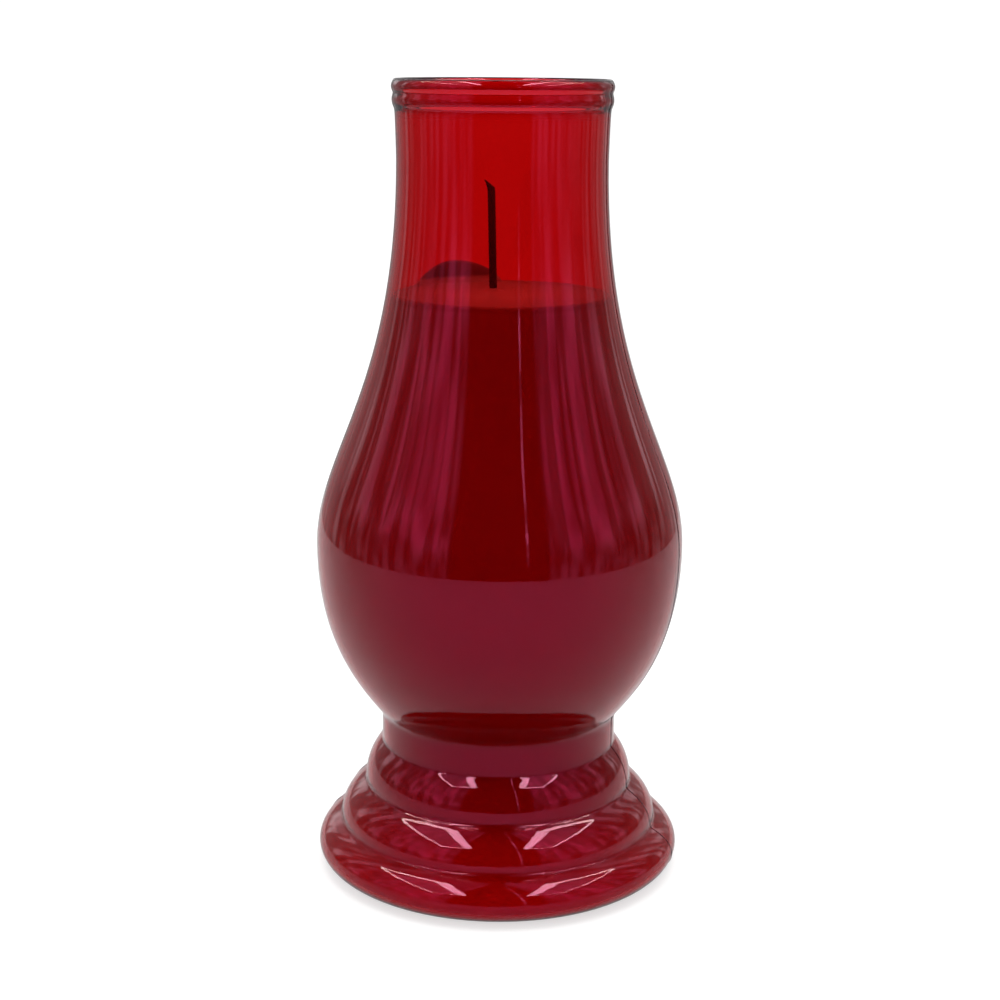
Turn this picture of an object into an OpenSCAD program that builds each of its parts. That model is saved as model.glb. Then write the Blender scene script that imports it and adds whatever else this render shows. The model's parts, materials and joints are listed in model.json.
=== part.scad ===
// Sanctuary lamp: a moulded hurricane-shaped shell with poured wax and one upright wick.
// Origin: centre of the underside, on the plane that the standing ring rests on. +Z is up.

/* [Overall] */
// Height from the standing ring to the top of the rim
lamp_h = 216; // [212:1:225]
// Wall thickness of the moulded shell
wall = 1.3; // [1:0.1:1.6]

/* [Rim and neck] */
// Inside radius of the mouth, a true cylinder for a drop-in lid
mouth_r = 27; // [26.5:0.1:27.2]
// Depth of the cylindrical land inside the mouth
mouth_land = 8; // [6:0.5:8]
// Rounding of the mouth's outer and inner edges
lip_r = 0.4; // [0.3:0.05:0.5]
// Height of the upper ring bead
upper_bead_h = 3.2; // [2.8:0.1:3.8]
// Height of the lower ring bead
lower_bead_h = 4.2; // [3.5:0.1:4.6]
// How far the beads stand out of the neck
bead_out = 0.52; // [0.3:0.02:0.8]
// Outside radius at the groove between the beads
groove_r = 28.65; // [28.6:0.05:28.9]
// Outside radius of the neck just under the beads
neck_top_r = 28.3; // [28.1:0.1:28.6]
// Outside radius of the neck at its narrowest
neck_r = 27.9; // [27.7:0.1:28.1]
// Distance from the rim down to the narrowest place
neck_drop = 20; // [16:1:24]

/* [Globe] */
// Largest outside radius of the globe
globe_r = 50.1; // [47:0.1:52]
// Height of the widest place of the globe
globe_z = 92; // [86:0.5:96]
// Length of the neck's pull on the upper curve
neck_pull = 62; // [50:1:66]
// Length of the globe's pull on the upper curve
globe_pull_up = 25; // [20:0.5:32]
// Length of the globe's pull on the lower curve
globe_pull_down = 23.5; // [18:0.5:28]
// Length of the stem's pull on the lower curve
stem_pull = 13.5; // [10:0.5:15]

/* [Stem] */
// Outside radius of the stem
stem_r = 32.5; // [31.5:0.1:33.5]
// Height at which the stem's wall starts to flare into the globe
stem_top_z = 43; // [41:0.5:44]
// Radius of the fold between stem and globe
stem_fold_r = 4; // [2:0.1:5]
// Steepness of the globe's underside at the fold, from the vertical
stem_flare = 40; // [36:1:46]

/* [Foot] */
// Outside radii of the three tiers, from the top
tier_r = [37.2, 44.2, 50.5]; // [36:0.1:51]
// Height at which each tier's shoulder meets the wall above it, from the top
tier_z = [35.4, 23.6, 12.9]; // [12:0.1:36]
// Share of each tier's height that its rounded shoulder takes
shoulder_share = [0.91, 0.94, 0.96]; // [0.85:0.01:0.97]
// How far each shoulder's curve turns from the upright before the fold above it
shoulder_turn = 37; // [30:1:60]
// Radius of the fold above each shoulder
crease_r = 0.8; // [0.5:0.1:1.2]
// Height of the widest place of the bottom roll
roll_z = 5.8; // [5:0.1:6.5]
// Outside radius of the flat standing ring
ring_r = 42; // [41:0.1:44]
// Width of the flat standing ring
ring_w = 2.5; // [2:0.1:4]
// Height of the recessed underside above the standing ring
push_up = 3; // [2:0.1:3.5]

/* [Wax] */
// Height of the wax surface
wax_z = 160; // [120:1:170]
// Gap between the wax and the wall
wax_gap = 0.1; // [0.05:0.05:0.2]
// How far the wax climbs at the wall
wax_climb = 0.4; // [0.2:0.1:1.2]
// Width of the band along the wall in which the wax climbs
climb_w = 5; // [3:0.5:8]
// Depth to which the surface has sunk in the middle
dip_depth = 0.4; // [0.1:0.1:1]
// Radius of the sunken middle
dip_r = 16; // [12:0.5:20]
// Height to which the wax climbs the wick
wick_climb = 1.2; // [0.4:0.1:1.6]
// Radius of the wax raised round the wick
raised_r = 3; // [2:0.1:4]
// Height of the wax left clinging to the wall above the surface
cling_h = 6; // [4:0.5:8]
// Width of the clinging wax along the wall
cling_w = 25; // [15:1:28]
// Thickness of the clinging wax at the surface
cling_t = 3; // [2:0.5:5]
// Thickness of the clinging wax at its upper edge
cling_edge_t = 0.7; // [0.4:0.1:1.5]
// Direction of the clinging wax, from +X
cling_angle = 122; // [100:1:140]

/* [Wick] */
// Radius of the braided wick
wick_r = 1.15; // [1:0.05:1.3]
// Radius of the stiffening core
core_r = 0.45; // [0.3:0.05:0.6]
// Height of the wick above the wax surface
wick_out = 29.7; // [20:0.1:34]
// Place of the wick at the wax surface
wick_foot = [-2.3, 9]; // [-9:0.1:9]
// Lean of the free wick towards -X
wick_lean = 1.4; // [0:0.1:4]
// Slope of the cut across the tip
tip_cut = 38; // [0:1:50]

/* [Wick holder] */
// Radius of the holder's disc
holder_r = 10; // [8:0.5:12]
// Thickness of the holder's sheet metal
holder_t = 0.3; // [0.2:0.05:0.4]
// Height of the collar that grips the wick
collar_h = 6; // [4:0.5:8]
// Radius of the adhesive pad under the holder
pad_r = 7; // [5:0.5:8]
// Thickness of the adhesive pad
pad_t = 0.5; // [0.3:0.1:0.8]

/* [Hidden] */
$fn = 96;
beads_z = lamp_h - lip_r - upper_bead_h - lower_bead_h;    // underside of the lower bead
neck_z = lamp_h - neck_drop;                               // narrowest place of the neck
neck_bow = 1.5;                                            // lifts the neck's outline between those two
floor_z = push_up + wall;                                  // inside of the bottom
holder_z = floor_z + pad_t;                                // underside of the holder's disc
fit_gap = 0.03;                                            // clearance round the wick and its holder
fine_steps = 8;                                            // short lines in each bead and shoulder
wax_steps = 6;                                             // short lines in the climb and in the dip

// Points of a cubic curve, without its first point
function curve(a, b, c, d, n) = [for (i = [1:n]) let (t = i / n, s = 1 - t)
    s * s * s * a + 3 * s * s * t * b + 3 * s * t * t * c + t * t * t * d];

// Points of an elliptical arc from angle p to angle q
function arc(centre, a, b, p, q, n) = [for (i = [0:n]) let (t = p + (q - p) * i / n)
    centre + [a * cos(t), b * sin(t)]];

// One ring bead of height h, bulging between two radii
function bead(z, h, r0, r1) = [for (i = [1:fine_steps]) let (t = i / fine_steps)
    [r0 + (r1 - r0) * t + bead_out * sin(180 * t), z + h * t]];

// One tier of the foot, from its widest place up through the fold above its shoulder
function tier(i, z_low) = let (
    inner_r = i == 0 ? stem_r : tier_r[i - 1],
    top_z = tier_z[i],
    shoulder_h = (top_z - z_low) * shoulder_share[i],
    slope = atan((tier_r[i] - inner_r) / shoulder_h * tan(shoulder_turn) / tan(shoulder_turn / 2)),
    end_r = inner_r + crease_r * (1 - cos(slope)),
    a = (tier_r[i] - end_r) / (1 - cos(shoulder_turn)),
    b = shoulder_h / sin(shoulder_turn)
) concat(
    arc([tier_r[i] - a, top_z - shoulder_h], a, b, 0, shoulder_turn, fine_steps),
    arc([inner_r + crease_r, top_z + crease_r * sin(slope)], crease_r, crease_r,
        180 + slope * 2 / 3, 180, 2)
);

// Outer outline from the standing ring up to the underside of the beads
stem_end = [stem_r + stem_fold_r * (1 - cos(stem_flare)), stem_top_z + stem_fold_r * sin(stem_flare)];
body_line = concat(
    arc([ring_r, roll_z], tier_r[2] - ring_r, roll_z, -90, 0, 10),
    tier(2, roll_z),
    tier(1, tier_z[2]),
    tier(0, tier_z[1]),
    arc([stem_r + stem_fold_r, stem_top_z], stem_fold_r, stem_fold_r, 180, 180 - stem_flare, 4),
    curve(stem_end, stem_end + stem_pull * [sin(stem_flare), cos(stem_flare)],
        [globe_r, globe_z - globe_pull_down], [globe_r, globe_z], 16),
    curve([globe_r, globe_z], [globe_r, globe_z + globe_pull_up],
        [neck_r, neck_z - neck_pull], [neck_r, neck_z], 30),
    [[(neck_r + neck_top_r) / 2, (neck_z + beads_z) / 2 + neck_bow], [neck_top_r, beads_z]]
);
rim_line = concat(
    bead(beads_z, lower_bead_h, neck_top_r, groove_r),
    bead(beads_z + lower_bead_h, upper_bead_h, groove_r, groove_r),
    [[groove_r - lip_r, lamp_h]]
);

// The same outline moved into the wall by a depth d, at right angles to the outline
function inward(line, d) = let (last = len(line) - 1) [for (i = [0:last]) let (
    along = line[min(i + 1, last)] - line[max(i - 1, 0)],
    side = along / norm(along)
) line[i] + d * [-side[1], side[0]]];

// Points of a line that lie under a height
function below(line, z) = [for (p = line) if (p[1] < z) p];

// Radius of a line where it first passes a height
function radius_at(line, z) = let (i = len(below(line, z)), a = line[i - 1], b = line[i])
    a[0] + (b[0] - a[0]) * (z - a[1]) / (b[1] - a[1]);

// The recessed bottom raised by a depth d: centre, edge of the recess, foot of its slope
function bottom_line(d) = [
    [0, push_up + d],
    [ring_r - ring_w - push_up + d * tan(22.5), push_up + d],
    [ring_r - ring_w + d * tan(22.5), d]
];

inner_line = inward(body_line, wall);
land_z = lamp_h - lip_r - mouth_land;                      // lower end of the land inside the mouth
wax_line = inward(body_line, wall + wax_gap);
wax_edge_r = radius_at(wax_line, wax_z + wax_climb);
wick_below = (wax_z - holder_z - holder_t - 3 * fit_gap) / cos(wick_lean);    // wick hidden in the wax
collar_r = wick_r + fit_gap + holder_t;
holder_x = wick_foot[0] + wick_below * sin(wick_lean);     // where the leaning wick reaches the floor

// Places its children on the leaning line of the wick, from the wick's lower end
module on_wick() {
    translate([wick_foot[0], wick_foot[1], wax_z])
        rotate([0, -wick_lean, 0])
            translate([0, 0, -wick_below])
                children();
}

// Rod along the whole wick, before its tip is cut
module wick_rod(r) {
    on_wick()
        cylinder(h = wick_below + wick_out, r = r);
}

// Everything above the slanting cut at the wick's tip
module above_tip() {
    reach = 8 * wick_r;
    on_wick()
        translate([0, 0, wick_below + wick_out - wick_r])
            rotate([0, tip_cut, 0])
                translate([-reach, -reach, 0])
                    cube([2 * reach, 2 * reach, reach]);
}

module lamp_shell() {
    color("firebrick", 0.6)
        rotate_extrude()
            polygon(concat(
                [[0, push_up], [ring_r - ring_w - push_up, push_up], [ring_r - ring_w, 0]],
                body_line,
                rim_line,
                [[mouth_r + lip_r, lamp_h], [mouth_r, lamp_h - lip_r], [mouth_r, land_z]],
                [for (i = [len(inner_line) - 3:-1:0]) inner_line[i]],
                [for (i = [2:-1:0]) bottom_line(wall)[i]]
            ));
}

// Half outline of the wax: floor, wall, then the surface with its climb and its sunken middle
module wax_outline() {
    polygon(concat(
        bottom_line(wall + wax_gap),
        below(wax_line, wax_z),
        [for (i = [0:wax_steps]) let (t = i / wax_steps)
            [wax_edge_r - climb_w * t, wax_z + wax_climb * pow(1 - t, 2)]],
        [for (i = [0:wax_steps]) let (t = i / wax_steps)
            [dip_r * (1 - t), wax_z - dip_depth * (1 - cos(180 * t)) / 2]]
    ));
}

// Film of wax left on the wall above the surface when the pour settled, with a round upper edge
module clinging_wax() {
    bottom_z = wax_z - wax_climb / 2;
    top_z = wax_z + cling_h + wax_climb;
    bottom_r = radius_at(wax_line, bottom_z) - wax_gap;
    top_r = radius_at(wax_line, top_z) - wax_gap;
    edge_r = (cling_h * cling_h + cling_w * cling_w / 4) / (2 * cling_h);
    intersection() {
        rotate_extrude()
            polygon([
                [bottom_r - cling_t, bottom_z],
                [bottom_r, bottom_z],
                [top_r, top_z],
                [top_r - cling_edge_t, top_z]
            ]);
        rotate([0, 0, cling_angle])
            translate([mouth_r / 2, 0, wax_z + cling_h - edge_r])
                rotate([0, 90, 0])
                    cylinder(h = mouth_r, r = edge_r);
    }
}

// Low cone of wax drawn up round the wick
module raised_wax() {
    translate([wick_foot[0], wick_foot[1], wax_z - dip_depth])
        cylinder(h = dip_depth + wick_climb, r1 = raised_r, r2 = wick_r + wick_climb / 2);
}

module wax_fill() {
    color("crimson")
        difference() {
            union() {
                rotate_extrude()
                    wax_outline();
                clinging_wax();
                raised_wax();
            }
            wick_rod(wick_r + fit_gap);
            translate([holder_x, wick_foot[1], floor_z])
                cylinder(h = pad_t + holder_t + fit_gap, r = holder_r + fit_gap);
            on_wick()
                translate([0, 0, -holder_t])
                    cylinder(h = collar_h + holder_t + fit_gap, r = collar_r + fit_gap);
        }
}

module wick_braid() {
    color("dimgray")
        difference() {
            wick_rod(wick_r);
            wick_rod(core_r);
            above_tip();
        }
}

module wick_core() {
    color("ivory")
        difference() {
            wick_rod(core_r);
            above_tip();
        }
}

// Stamped disc with a collar that grips the foot of the wick
module wick_holder() {
    color("silver")
        difference() {
            union() {
                translate([holder_x, wick_foot[1], holder_z])
                    cylinder(h = holder_t, r = holder_r);
                on_wick()
                    translate([0, 0, -holder_t / 2])
                        cylinder(h = collar_h + holder_t / 2, r = collar_r);
            }
            wick_rod(wick_r + fit_gap);
        }
}

module holder_pad() {
    color("gainsboro")
        translate([holder_x, wick_foot[1], floor_z])
            cylinder(h = pad_t, r = pad_r);
}

lamp_shell();
wax_fill();
wick_braid();
wick_core();
wick_holder();
holder_pad();
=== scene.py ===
import bmesh
import bpy
import json
import math
import random
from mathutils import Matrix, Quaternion, Vector

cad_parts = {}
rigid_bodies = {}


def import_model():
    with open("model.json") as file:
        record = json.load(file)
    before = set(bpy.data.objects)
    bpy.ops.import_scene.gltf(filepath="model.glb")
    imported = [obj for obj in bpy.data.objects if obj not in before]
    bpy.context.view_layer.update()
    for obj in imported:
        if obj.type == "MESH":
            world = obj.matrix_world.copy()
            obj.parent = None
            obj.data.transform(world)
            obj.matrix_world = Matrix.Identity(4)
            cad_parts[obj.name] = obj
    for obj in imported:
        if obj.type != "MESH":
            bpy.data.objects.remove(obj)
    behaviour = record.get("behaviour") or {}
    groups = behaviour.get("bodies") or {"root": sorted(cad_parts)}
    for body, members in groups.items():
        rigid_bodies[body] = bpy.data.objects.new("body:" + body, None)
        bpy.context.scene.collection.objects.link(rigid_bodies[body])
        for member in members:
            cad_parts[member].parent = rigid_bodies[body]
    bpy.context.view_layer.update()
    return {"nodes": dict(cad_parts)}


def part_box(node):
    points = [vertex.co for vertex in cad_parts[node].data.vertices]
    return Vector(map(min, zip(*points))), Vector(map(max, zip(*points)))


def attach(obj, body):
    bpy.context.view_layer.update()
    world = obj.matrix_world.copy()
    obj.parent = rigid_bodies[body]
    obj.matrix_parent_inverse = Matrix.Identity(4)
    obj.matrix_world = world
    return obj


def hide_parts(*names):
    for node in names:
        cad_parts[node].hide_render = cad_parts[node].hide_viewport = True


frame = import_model()

mm = 0.001
weld = 0.001 * mm                                  # points closer than this are one point
white = (1, 1, 1, 1)


def deselectAll():
    for ob in bpy.data.objects:
        ob.select_set(False)


def makeActive(ob):
    deselectAll()
    ob.select_set(True)
    bpy.context.view_layer.objects.active = ob


def edit(ob):
    makeActive(ob)
    bpy.ops.object.mode_set(mode="EDIT")
    bpy.ops.mesh.select_mode(type="VERT")
    bpy.ops.mesh.select_all(action="SELECT")


def leaveEdit():
    bpy.ops.object.mode_set(mode="OBJECT")


def selectVerts(ob, wanted):
    # selects the vertices for which wanted(vertex) is true, in edit mode
    bpy.ops.mesh.select_all(action="DESELECT")
    bm = bmesh.from_edit_mesh(ob.data)
    for v in bm.verts:
        v.select_set(bool(wanted(v)))
    bm.select_flush_mode()
    bmesh.update_edit_mesh(ob.data)


def applyModifier(ob, kind, **settings):
    makeActive(ob)
    modifier = ob.modifiers.new(kind.lower(), kind)
    for key, value in settings.items():
        setattr(modifier, key, value)
    bpy.ops.object.modifier_apply(modifier=modifier.name)


def radial(co):
    return math.hypot(co.x, co.y)


def halfOutline(node, name):
    # one half of the node's own cross-section, from the axis out to +X, as a line of edges
    ob = bpy.data.objects.new(name, frame["nodes"][node].data.copy())
    ob.data.materials.clear()
    bpy.context.scene.collection.objects.link(ob)
    edit(ob)
    bpy.ops.mesh.remove_doubles(threshold=weld)
    bpy.ops.mesh.bisect(
        plane_co=(0, 0, 0), plane_no=(0, 1, 0), clear_inner=True, clear_outer=True, threshold=weld
    )
    bpy.ops.mesh.select_all(action="SELECT")
    bpy.ops.mesh.bisect(plane_co=(0, 0, 0), plane_no=(1, 0, 0), clear_inner=True, threshold=weld)
    leaveEdit()
    return ob


def spinOutline(ob, steps):
    # turns the outline once round the axis and closes its seam and its poles
    edit(ob)
    bpy.ops.mesh.spin(steps=steps, angle=2 * math.pi, center=(0, 0, 0), axis=(0, 0, 1))
    bpy.ops.mesh.select_all(action="SELECT")
    bpy.ops.mesh.remove_doubles(threshold=2 * weld)
    bpy.ops.mesh.select_all(action="SELECT")
    bpy.ops.mesh.normals_make_consistent(inside=False)
    leaveEdit()


def finishPiece(ob, material, node):
    makeActive(ob)
    bpy.ops.object.shade_smooth()
    ob.data.materials.clear()
    ob.data.materials.append(material)
    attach(ob, "root")
    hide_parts(node)
    print(f"{ob.name}: {sum(len(p.vertices) - 2 for p in ob.data.polygons)} triangles")


class Value:
    # a socket of a node tree that sums and products can be written with
    def __init__(self, shader, socket):
        self.shader = shader
        self.socket = socket

    def math(self, operation, a, b=None):
        inputs = {0: a} if b is None else {0: a, 1: b}
        return self.shader.node("ShaderNodeMath", {"operation": operation}, inputs)

    def other(self, out):
        # another output of the same node
        return Value(self.shader, self.socket.node.outputs[out])

    def __add__(self, other):
        return self.math("ADD", self, other)

    def __radd__(self, other):
        return self.math("ADD", other, self)

    def __sub__(self, other):
        return self.math("SUBTRACT", self, other)

    def __rsub__(self, other):
        return self.math("SUBTRACT", other, self)

    def __mul__(self, other):
        return self.math("MULTIPLY", self, other)

    def __rmul__(self, other):
        return self.math("MULTIPLY", other, self)

    def abs(self):
        return self.math("ABSOLUTE", self)

    def most(self, other):
        return self.math("MAXIMUM", self, other)

    def step(self, low, high):
        # 0 at low, 1 at high, smooth between them
        return self.shader.node(
            "ShaderNodeMapRange",
            {"interpolation_type": "SMOOTHSTEP"},
            {"Value": self, "From Min": low, "From Max": high},
        )


class Shader:
    # the nodes of one material or of the room
    def __init__(self, tree):
        self.tree = tree
        self.tree.nodes.clear()

    def node(self, kind, settings=None, inputs=None, out=0):
        node = self.tree.nodes.new(kind)
        for key, value in (settings or {}).items():
            setattr(node, key, value)
        for key, value in (inputs or {}).items():
            if isinstance(value, Value):
                self.tree.links.new(value.socket, node.inputs[key])
            else:
                node.inputs[key].default_value = value
        return Value(self, node.outputs[out])

    def mix(self, share, a, b):
        return self.node("ShaderNodeMix", {"data_type": "RGBA"}, {0: share, 6: a, 7: b}, 2)

    def noise(self, scale, detail, vector):
        return self.node("ShaderNodeTexNoise", None, {"Scale": scale, "Detail": detail, "Vector": vector})

    def bump(self, height, strength, distance):
        inputs = {"Height": height, "Strength": strength, "Distance": distance}
        return self.node("ShaderNodeBump", None, inputs)

    def place(self, scale=(1, 1, 1)):
        # places on the piece itself, so a pattern stays with it
        coords = self.node("ShaderNodeTexCoord", None, None, "Object")
        return self.node("ShaderNodeMapping", None, {"Vector": coords, "Scale": scale})

    def joined(self, x, y, z):
        return self.node("ShaderNodeCombineXYZ", None, {"X": x, "Y": y, "Z": z})

    def parted(self, vector):
        x = self.node("ShaderNodeSeparateXYZ", None, {"Vector": vector})
        return x, x.other(1), x.other(2)


def newMaterial(name):
    material = bpy.data.materials.new(name)
    material.use_nodes = True
    return material, Shader(material.node_tree)


def surface(shader, inputs, volume=None):
    out = shader.tree.nodes.new("ShaderNodeOutputMaterial")
    bsdf = shader.node("ShaderNodeBsdfPrincipled", None, inputs)
    shader.tree.links.new(bsdf.socket, out.inputs["Surface"])
    if volume:
        shader.tree.links.new(volume.socket, out.inputs["Volume"])


print("frame loaded:", ", ".join(sorted(frame["nodes"])))

camera = {
    "distance": 499.1 * mm,
    "height": 222.7 * mm,
    "down": 13.43,                                 # degrees below the level
    "roll": 0.43,                                  # degrees
    "lens": 67.55,
    "sensor": 36,
    "nearest": 10 * mm,
}


def makeCamera(c):
    data = bpy.data.cameras.new("camera")
    data.lens = c["lens"]
    data.sensor_width = c["sensor"]
    data.clip_start = c["nearest"]
    ob = bpy.data.objects.new("camera", data)
    bpy.context.scene.collection.objects.link(ob)
    ob.location = (0, -c["distance"], c["height"])
    ob.rotation_mode = "QUATERNION"
    down = math.radians(c["down"])
    turn = Vector((0, math.cos(down), -math.sin(down))).to_track_quat("-Z", "Y")
    ob.rotation_quaternion = turn @ Quaternion((0, 0, 1), math.radians(c["roll"]))
    bpy.context.scene.camera = ob
    print("camera placed")


makeCamera(camera)

shell = {
    "steps": 88,
    "seamAt": -16,                                 # degrees from +X, and again half a turn on
    "seamCuts": (-0.55, -0.25, 0, 0.25, 0.55),     # degrees to each side of the mould line
    "seamHeight": 0.15 * mm,
    "seamReach": 0.02 * mm,                        # points this near the line are raised
    "seamFromR": 20 * mm,
    "seamEnds": (2 * mm, 1 * mm),                  # left plain at the foot and at the rim
    "tint": (1, 0.9, 0.9, 1),
    "absorb": (0.858, 0.02, 0.05, 1),
    "density": 2600,
    "sheen": (1.0, 0.17, 0.42, 1),
}


def shellMaterial(s):
    material, sh = newMaterial("clear_red_plastic")
    broad = sh.noise(28, 2, sh.place())            # slow waves left by the mould
    fine = sh.noise(420, 3, sh.place())            # orange peel
    handled = sh.noise(60, 4, sh.place())          # duller where it has been handled
    depth = {"Color": s["absorb"], "Density": s["density"]}
    surface(sh, {
        "Base Color": s["tint"],
        "Roughness": 0.02 + handled.step(0.55, 0.8) * 0.05,
        "IOR": 1.5,
        "Transmission Weight": 1.0,
        "Specular Tint": s["sheen"],
        "Normal": sh.bump(broad + fine * 0.02, 0.25, 0.2 * mm),
    }, sh.node("ShaderNodeVolumeAbsorption", None, depth))
    return material


def makeShell(s):
    ob = halfOutline("lamp_shell", "shell_moulded")
    spinOutline(ob, s["steps"])
    applyModifier(ob, "SUBSURF", levels=1, render_levels=1)
    edit(ob)

    def across(offset):
        a = math.radians(s["seamAt"] + offset)
        return Vector((-math.sin(a), math.cos(a), 0))

    for offset in s["seamCuts"]:
        bpy.ops.mesh.select_all(action="SELECT")
        bpy.ops.mesh.bisect(plane_co=(0, 0, 0), plane_no=across(offset), threshold=weld)
    seam = across(0)
    lowest = s["seamEnds"][0]
    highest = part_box("lamp_shell")[1].z - s["seamEnds"][1]

    def onSeam(v):
        # on the mould line, on the outside of the wall
        outward = Vector((v.co.x, v.co.y, 0))
        onLine = abs(v.co.dot(seam)) < s["seamReach"] and outward.length > s["seamFromR"]
        facesOut = v.normal.dot(outward.normalized()) > 0.3
        return onLine and facesOut and lowest < v.co.z < highest

    selectVerts(ob, onSeam)
    bpy.ops.transform.shrink_fatten(value=s["seamHeight"])
    leaveEdit()
    finishPiece(ob, shellMaterial(s), "lamp_shell")


makeShell(shell)

wax = {
    "steps": 96,
    "seed": 4,
    "wickOut": 29.7 * mm,                          # from the surface to the wick's tip
    "pocketR": 17 * mm,
    "floorZ": 4.45 * mm,
    "filmFrom": 147,                               # degrees from +X
    "filmTo": 91,
    "filmSlopes": (0.9, 0.55),                     # how its height rises and falls between them
    "filmHeight": 5.9 * mm,
    "filmTop": 0.3,
    "filmFoot": 2.2 * mm,
    "uneven": 0.25 * mm,
    "gap": 0.08 * mm,
    "wallSteps": 30,
    "wallReach": (6 * mm, 4 * mm),                 # below the surface, and above the film
    "topDepth": 2 * mm,                            # upward faces this far down move with the surface
    "wickAt": (-2.3 * mm, 9 * mm),
    "wickClimb": 1.1 * mm,
    "raisedR": 3.2 * mm,
    # the foot is painted lighter, as if the floor lit it through the base
    "foot": (0.86, 0.60, 0.50, 1),
    "paintedLightAndShade": (                                     # painted light and shade by height, from a height, to a height, colour above them: darker stem, lighter globe, darker near the surface, near-black painted shade on the film
        (10.0 * mm, 32.0 * mm, (0.47, 0.34, 0.28, 1)),
        (48.0 * mm, 75.0 * mm, (0.54, 0.38, 0.33, 1)),
        (158.2 * mm, 159.2 * mm, (0.45, 0.31, 0.26, 1)),
        (161.2 * mm, 162.2 * mm, (0.16, 0.09, 0.12, 1)),
    ),
    "cloud": (0.47, 0.34, 0.28, 1),
}


def waxMaterial(w):
    material, sh = newMaterial("poured_wax")
    cloudy = sh.noise(90, 4, sh.place())
    grain = sh.noise(900, 3, sh.place())
    z = sh.parted(sh.place())[2]
    # colour steps with height to paint light and shade: a lighter foot, darker stem and top, and a
    # near-black painted shade on the film above the surface
    colour = w["foot"]
    for low, high, above in w["paintedLightAndShade"]:
        colour = sh.mix(z.step(low, high), colour, above)
    surface(sh, {
        "Base Color": sh.mix(cloudy.step(0.3, 0.7) * 0.25, colour, w["cloud"]),
        "Roughness": 0.38 + cloudy * 0.15,
        "IOR": 1.44,
        "Subsurface Weight": 0.6,
        "Subsurface Radius": (1.0, 0.5, 0.35),
        "Subsurface Scale": 3 * mm,
        "Normal": sh.bump(cloudy + grain * 0.2, 0.3, 0.3 * mm),
    })
    return material


def innerWall(node, lowZ, highZ, steps):
    # (height, radius) points of the node's inner wall between two heights
    ob = halfOutline(node, "line")
    co = [(v.co.z, v.co.x) for v in ob.data.vertices]
    pairs = [sorted((co[e.vertices[0]], co[e.vertices[1]])) for e in ob.data.edges]
    bpy.data.objects.remove(ob)
    wall = []
    for i in range(steps + 1):
        z = lowZ + (highZ - lowZ) * i / steps
        level = [(a, b) for a, b in pairs if a[0] <= z < b[0]]
        wall.append((z, min(a[1] + (b[1] - a[1]) * (z - a[0]) / (b[0] - a[0]) for a, b in level)))
    return wall


def radiusAt(wall, z):
    # radius of the inner wall at a height, between the points that innerWall gave
    share = (z - wall[0][0]) / (wall[-1][0] - wall[0][0]) * (len(wall) - 1)
    i = min(max(int(share), 0), len(wall) - 2)
    return wall[i][1] + (wall[i + 1][1] - wall[i][1]) * (share - i)


def filmHeight(w, angle):
    # how far the film of wax climbs the wall in a direction, in degrees from +X
    t = (w["filmFrom"] - angle) / (w["filmFrom"] - w["filmTo"])
    if not 0 < t < 1:
        return 0
    return w["filmHeight"] * math.sin(math.pi * t) ** w["filmSlopes"][0 if t < 0.5 else 1]


def makeWax(w):
    ob = halfOutline("wax_fill", "wax_poured")
    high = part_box("wax_fill")[1]
    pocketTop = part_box("wick_holder")[1].z + 1 * mm
    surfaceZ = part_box("wick_braid")[1].z - w["wickOut"]
    edit(ob)
    selectVerts(ob, lambda v: w["floorZ"] < v.co.z < pocketTop and v.co.x < w["pocketR"])
    bpy.ops.mesh.delete(type="VERT")               # the holder's pocket, which can't be seen, is filled

    def isOpenEnd(v):
        return v.co.z < pocketTop and len(v.link_edges) == 1

    bm = bmesh.from_edit_mesh(ob.data)
    reach = min(v.co.x for v in bm.verts if isOpenEnd(v))
    selectVerts(ob, isOpenEnd)
    bpy.ops.mesh.extrude_region_move(TRANSFORM_OT_translate={"value": (-reach, 0, 0)})
    leaveEdit()
    spinOutline(ob, w["steps"])
    applyModifier(ob, "SUBSURF", levels=1, render_levels=1)

    below, above = w["wallReach"]
    wall = innerWall("lamp_shell", surfaceZ - below, high.z + above, w["wallSteps"])
    edgeR = max(radial(v.co) for v in ob.data.vertices if v.co.z > surfaceZ)
    wallGap = radiusAt(wall, surfaceZ) - edgeR
    random.seed(w["seed"])
    ripple = []
    for _ in range(5):
        ripple.append((random.randint(2, 7), random.uniform(0, 2 * math.pi), random.uniform(0.3, 1)))

    def onTop(v):
        return v.co.z > surfaceZ or (v.co.z > surfaceZ - w["topDepth"] and v.normal.z > 0.3)

    for v in [v for v in ob.data.vertices if onTop(v)]:
        r, angle = radial(v.co), math.degrees(math.atan2(v.co.y, v.co.x))
        inward = (edgeR - r) / w["filmFoot"]
        uneven = sum(k * math.sin(n * math.radians(angle) + p) for n, p, k in ripple) / 3
        lift = filmHeight(w, angle)
        share = max(0, 1 - max(0, inward - w["filmTop"])) ** 3
        z = v.co.z + lift * share + uneven * w["uneven"] * min(1, r / edgeR) * (1 - 0.4 * share)
        fromWick = math.hypot(v.co.x - w["wickAt"][0], v.co.y - w["wickAt"][1])
        z += w["wickClimb"] * max(0, 1 - fromWick / w["raisedR"]) ** 1.5
        limit = radiusAt(wall, z) - max(wallGap, w["gap"])
        factor = (r if inward > 1 else r + (limit - edgeR) * (1 - inward)) / r if r > 1 * mm else 1
        v.co = Vector((v.co.x * factor, v.co.y * factor, z))
    finishPiece(ob, waxMaterial(w), "wax_fill")


makeWax(wax)

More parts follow.
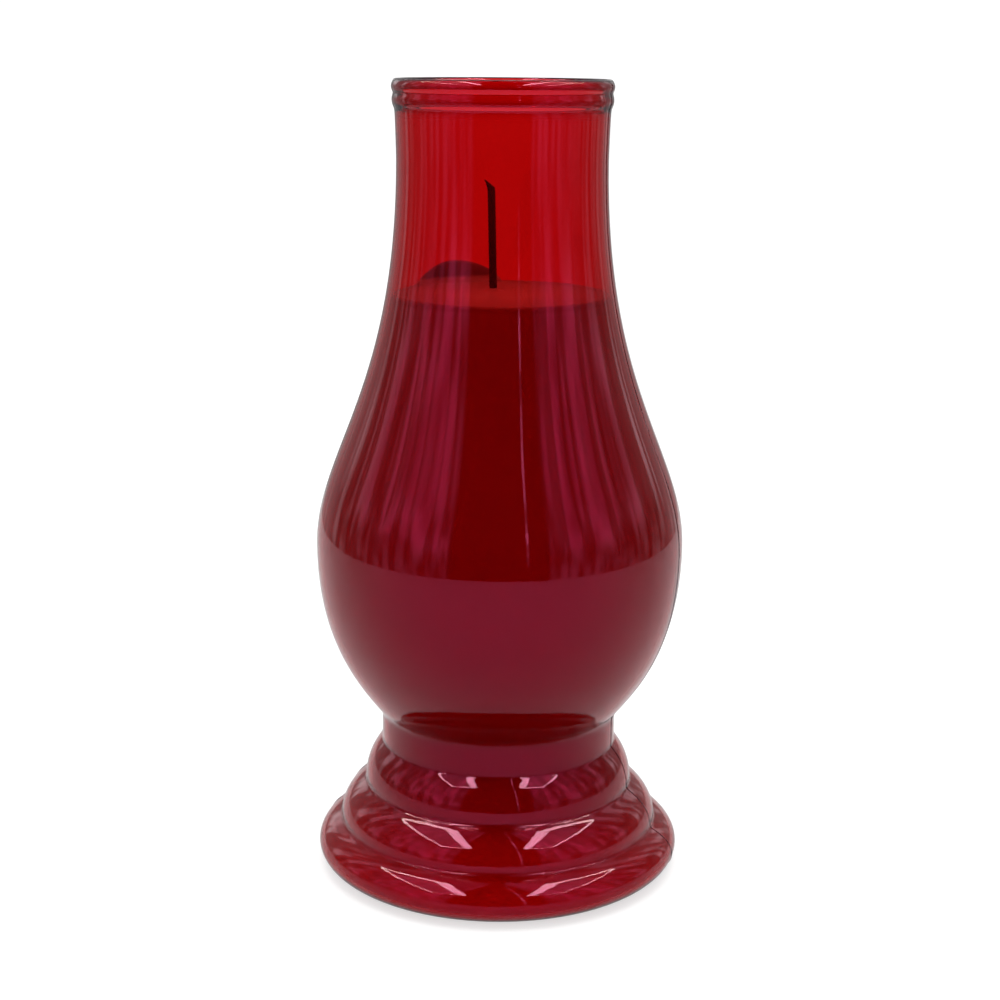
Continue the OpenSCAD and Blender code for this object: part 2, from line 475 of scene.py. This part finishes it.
wick = {
    "radius": 1.15 * mm,
    "strands": 6,
    "strandR": 0.30 * mm,
    "strandPath": 0.71 * mm,
    "weave": 0.11 * mm,
    "turn": 6.5 * mm,
    "yarnStep": 0.16 * mm,
    "free": wax["wickOut"],
    "braidedBelow": 8 * mm,                        # how far the weave goes on under the surface
    "hook": (-0.75 * mm, 0, 0),
    "hookLength": 3.5 * mm,
    "cut": 38,                                     # slope of the tip, in degrees
    "cutBack": 0.95 * mm,
    "coreR": 0.42 * mm,
    "coreStart": 0.1 * mm,
}


def wickLine():
    # foot, direction and length of the CAD wick's own centre line
    low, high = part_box("wick_braid")
    places = [v.co for v in frame["nodes"]["wick_braid"].data.vertices]
    lowest = [co for co in places if co.z < low.z + 0.2 * mm]
    highest = [co for co in places if co.z > high.z - 4 * mm]
    foot = sum(lowest, Vector()) / len(lowest)
    along = (sum(highest, Vector()) / len(highest) - foot).normalized()
    return foot, along, (high.z - foot.z) / along.z


def wickPoint(w, line, s):
    # point on the centre line at the length s above the foot, hooked over near the tip
    foot, along, total = line
    bend = max(0, (s - (total - w["hookLength"])) / w["hookLength"])
    return foot + along * s + Vector(w["hook"]) * bend * bend


def tube(name, points, radius, sides):
    curve = bpy.data.curves.new(name, "CURVE")
    curve.dimensions = "3D"
    curve.bevel_depth = radius
    curve.bevel_resolution = sides
    curve.use_fill_caps = True
    spline = curve.splines.new("POLY")
    spline.points.add(len(points) - 1)
    for p, co in zip(spline.points, points):
        p.co = (*co, 1)
    ob = bpy.data.objects.new(name, curve)
    bpy.context.scene.collection.objects.link(ob)
    makeActive(ob)
    bpy.ops.object.convert(target="MESH")
    return bpy.context.view_layer.objects.active


def cutTip(ob, w, line):
    # the slanting cut across the tip, closed with a face
    centre = wickPoint(w, line, line[2] - w["cutBack"])
    slope = math.radians(w["cut"])
    away = (math.sin(slope), 0, math.cos(slope))
    edit(ob)
    bpy.ops.mesh.bisect(plane_co=centre, plane_no=away, use_fill=True, clear_outer=True, threshold=weld)
    leaveEdit()


def braidMaterial():
    material, sh = newMaterial("charred_braid")
    soot = sh.noise(700, 3, sh.place())
    yarn = sh.noise(2600, 2, sh.place((1, 1, 0.2)))
    colour = sh.mix(soot.step(0.35, 0.7), (0.006, 0.005, 0.005, 1), (0.035, 0.026, 0.024, 1))
    bump = sh.bump(yarn, 0.5, 0.08 * mm)
    surface(sh, {"Base Color": colour, "Roughness": 0.42 + soot * 0.35, "Normal": bump})
    return material


def coreMaterial():
    material, sh = newMaterial("paper_core")
    fibre = sh.noise(1800, 3, sh.place((1, 1, 0.15)))
    colour = sh.mix(fibre, (0.10, 0.08, 0.07, 1), (0.30, 0.26, 0.22, 1))
    surface(sh, {"Base Color": colour, "Roughness": 0.8, "Normal": sh.bump(fibre, 0.4, 0.05 * mm)})
    return material


def yarnTube(w, line, start, k, hand):
    # one yarn of the weave: number k of those that wind the same way
    foot, along, total = line
    side = along.cross(Vector((0, 1, 0))).normalized()
    front = along.cross(side)
    rate = 2 * math.pi / w["turn"]
    count = int((total - start) / w["yarnStep"])
    points = []
    for i in range(count + 1):
        s = start + (total - start) * i / count
        a = 2 * math.pi * k / w["strands"] + hand * rate * s
        r = w["strandPath"] + hand * w["weave"] * math.cos(w["strands"] * rate * s)
        points.append(wickPoint(w, line, s) + (side * math.cos(a) + front * math.sin(a)) * r)
    return tube("yarn", points, w["strandR"], 1)


def straightTube(name, w, line, ends, steps, radius, sides):
    low, high = ends
    points = [wickPoint(w, line, low + (high - low) * i / steps) for i in range(steps + 1)]
    return tube(name, points, radius, sides)


def makeWick(w):
    line = wickLine()
    total = line[2]
    start = total - w["free"] - w["braidedBelow"]
    parts = [yarnTube(w, line, start, k, hand) for hand in (1, -1) for k in range(w["strands"])]
    parts.append(straightTube("sleeve", w, line, (start, total), 40, w["strandPath"] * 0.95, 4))
    for part in parts:
        cutTip(part, w, line)
    lowerEnds = (w["coreStart"], start + 0.3 * mm)
    parts.append(straightTube("lower", w, line, lowerEnds, 1, w["radius"] * 0.98, 4))
    deselectAll()
    for part in parts:
        part.select_set(True)
    bpy.context.view_layer.objects.active = parts[0]
    bpy.ops.object.join()
    braid = bpy.context.view_layer.objects.active
    braid.name = "wick_braided"
    finishPiece(braid, braidMaterial(), "wick_braid")
    bpy.ops.object.shade_smooth_by_angle(angle=math.radians(50))

    core = straightTube("wick_paper_core", w, line, (w["coreStart"], total), 60, w["coreR"], 3)
    cutTip(core, w, line)
    finishPiece(core, coreMaterial(), "wick_core")


makeWick(wick)


def holderMaterial():
    material, sh = newMaterial("tinned_steel")
    brushed = sh.noise(260, 4, sh.place((1, 12, 1)))
    stain = sh.noise(40, 3, sh.place())
    colour = sh.mix(stain, (0.46, 0.45, 0.44, 1), (0.66, 0.66, 0.67, 1))
    bump = sh.bump(brushed, 0.3, 0.04 * mm)
    surface(sh, {"Base Color": colour, "Metallic": 1.0, "Roughness": 0.28 + brushed * 0.2, "Normal": bump})
    return material


def padMaterial():
    material, sh = newMaterial("hot_melt_pad")
    cloudy = sh.noise(160, 3, sh.place())
    colour = sh.mix(cloudy, (0.72, 0.70, 0.62, 1), (0.88, 0.87, 0.82, 1))
    surface(sh, {"Base Color": colour, "Roughness": 0.55, "Normal": sh.bump(cloudy, 0.4, 0.1 * mm)})
    return material


# the holder and its pad keep their CAD meshes
for node, material in (("wick_holder", holderMaterial()), ("holder_pad", padMaterial())):
    data = frame["nodes"][node].data
    data.materials.clear()
    data.materials.append(material)
print("holder and pad finished")

studio = {
    "tableR": 0.62,                                # the round table top that the shell mirrors
    "tableFade": (-0.25, 0.1),                     # places towards the back, in metres
    "floorR": 30.0,
    "floorColour": (0.45, 0.45, 0.45, 1),
    "floorShade": (0.44325, 0.44325, 0.44325, 1),
    "floorGlow": 0.62,
    "farGlow": (0.25, 0.25, 0.25, 1),              # what the mirrored table fades to at the back
    "backdrop": 1.05,
    "behind": 0.34,
    "dim": 0.02,
    "curtain": 2.1,
    "curtainEdge": (0.50, 0.60),                   # radians to each side of straight in front
    "curtainFade": (0.9, 1.9),
    "curtainHem": (0, 0.18),                       # slopes above the level
    "tintEnd": (1.6, 2.2),
    "behindEdge": (1.9, 2.4),
    "behindFade": (2.7, 3.0),
    "curtainColour": (1.0, 0.42, 0.60, 1),
    "gapAt": 0.30,                                 # radians to the right of straight in front
    "gapEdge": (0.006, 0.022),
    "gapFoot": (-0.05, 0.3),
    "gapGlow": 4.5,
    "topHeight": 0.75,
    "topSize": (0.6, 0.6),
    "topPower": 3.6,
    "frameHeight": 0.62,
    "frameCorners": ((-0.24, -0.10), (-0.56, 0.17), (-0.52, -0.52), (-0.25, -0.56)),
    "frameWidths": (0.025, 0.03, 0.025, 0.07),
    "frameGlow": 28,
    "frameColour": (0.45, 1.0, 0.62),
    "panelSize": (0.28, 0.5),
    "panelGlow": 0.8,
}


def isMirrored(sh):
    # 1 for what the shell mirrors, 0 for what is seen directly or through it
    path = sh.node("ShaderNodeLightPath", None, None, "Is Transmission Ray")
    return path.other("Is Glossy Ray") * (1 - path)


def floorMaterial(s):
    material, sh = newMaterial("pale_floor")
    fine = sh.noise(30, 2, sh.place())
    y = sh.parted(sh.place())[1]
    surface(sh, {
        "Base Color": sh.mix(fine, s["floorShade"], s["floorColour"]),
        "Roughness": 0.9,
        "Specular IOR Level": 0.1,
        "Emission Color": sh.mix(isMirrored(sh) * y.step(*s["tableFade"]), white, s["farGlow"]),
        "Emission Strength": s["floorGlow"],
    })
    return material


def makeFloor(s):
    # a round table top, and round it the rest of the floor, which the shell doesn't mirror
    material = floorMaterial(s)
    for name, fill in (("table", "NGON"), ("floor", "NOTHING")):
        deselectAll()
        bpy.ops.mesh.primitive_circle_add(vertices=96, radius=s["tableR"], fill_type=fill)
        ob = bpy.context.view_layer.objects.active
        ob.name = name
        if name == "floor":
            grow = s["floorR"] / s["tableR"]
            edit(ob)
            bpy.ops.mesh.extrude_region()
            bpy.ops.transform.resize(value=(grow, grow, 1))
            bpy.ops.mesh.select_all(action="SELECT")
            bpy.ops.mesh.normals_make_consistent(inside=False)
            leaveEdit()
        ob.data.materials.append(material)
        ob.visible_glossy = name == "table"


def makeWorld(s):
    # an even pale backdrop; the shell mirrors a dim room with curtains and a gap between them
    world = bpy.data.worlds.new("room")
    bpy.context.scene.world = world
    world.use_nodes = True
    sh = Shader(world.node_tree)
    x, y, z = sh.parted(sh.node("ShaderNodeTexCoord", None, None, "Generated"))
    across = x.math("ARCTAN2", x, y * -1)          # 0 straight in front, + to the right
    side = across.abs()
    folds = sh.noise(8, 2, sh.joined(across * 1.3, 0, z * 0.22)).step(0.42, 0.60)
    patches = sh.noise(4, 4, sh.joined(across * 1.2, 0.5, z * 1.1)).step(0.35, 0.65)
    broken = sh.noise(9, 3, sh.joined(3, 0, z)).step(0.42, 0.6)
    hung = side.step(*s["curtainEdge"]) * (0.2 + folds * 0.8) * (0.4 + z.step(*s["curtainHem"]) * 0.6)
    curtain = hung * (0.5 + patches * 0.9) * (1 - side.step(*s["curtainFade"]) * 0.4) * s["curtain"]
    gap = (1 - (across - s["gapAt"]).abs().step(*s["gapEdge"])) * z.step(*s["gapFoot"])
    gap = gap * (0.15 + broken * 0.85) * s["gapGlow"]
    behind = side.step(*s["behindEdge"]) * (1 - side.step(*s["behindFade"]) * 0.3) * s["behind"]
    room = (curtain + s["dim"]).most(behind).most(gap)
    mirrored = isMirrored(sh)
    colour = sh.mix(mirrored * hung * (1 - side.step(*s["tintEnd"])), white, s["curtainColour"])
    strength = mirrored * room + (1 - mirrored) * s["backdrop"]
    back = sh.node("ShaderNodeBackground", None, {"Color": colour, "Strength": strength})
    out = sh.tree.nodes.new("ShaderNodeOutputWorld")
    sh.tree.links.new(back.socket, out.inputs["Surface"])


def makeLight(name, at, size, power, turn=0):
    # a rectangle that shines straight down, turned about the upright
    data = bpy.data.lights.new(name, "AREA")
    data.shape = "RECTANGLE"
    data.size, data.size_y = size
    data.energy = power
    ob = bpy.data.objects.new(name, data)
    bpy.context.scene.collection.objects.link(ob)
    ob.location = at
    ob.rotation_mode = "QUATERNION"
    ob.rotation_quaternion = Quaternion((0, 0, 1), turn)
    ob.visible_camera = False
    ob.visible_transmission = False
    return ob


def makeGlint(name, at, size, glow, turn=0):
    # a light of a given brightness that is only seen mirrored
    ob = makeLight(name, at, size, glow * math.pi * size[0] * size[1], turn)
    ob.visible_diffuse = False
    return ob


def makeFrames(s):
    # a pale panel in a bright frame above each side
    for hand in (1, -1):
        corners = [Vector((hand * x, y, s["frameHeight"])) for x, y in s["frameCorners"]]
        for a, b, wide in zip(corners, corners[1:] + corners[:1], s["frameWidths"]):
            turn = math.atan2(b.y - a.y, b.x - a.x) + math.pi / 2
            strip = makeGlint("frame_strip", (a + b) / 2, (wide, (b - a).length), s["frameGlow"], turn)
            strip.data.color = s["frameColour"]
        centre = sum(corners, Vector()) / len(corners) + Vector((0, 0, 10 * mm))
        makeGlint("frame_panel", centre, s["panelSize"], s["panelGlow"])


makeFloor(studio)
makeWorld(studio)
makeFrames(studio)
top = makeLight("top_light", (0, 0, studio["topHeight"]), studio["topSize"], studio["topPower"])
top.visible_glossy = False
print("floor, room and lights set")

bpy.context.scene.view_settings.view_transform = "Standard"
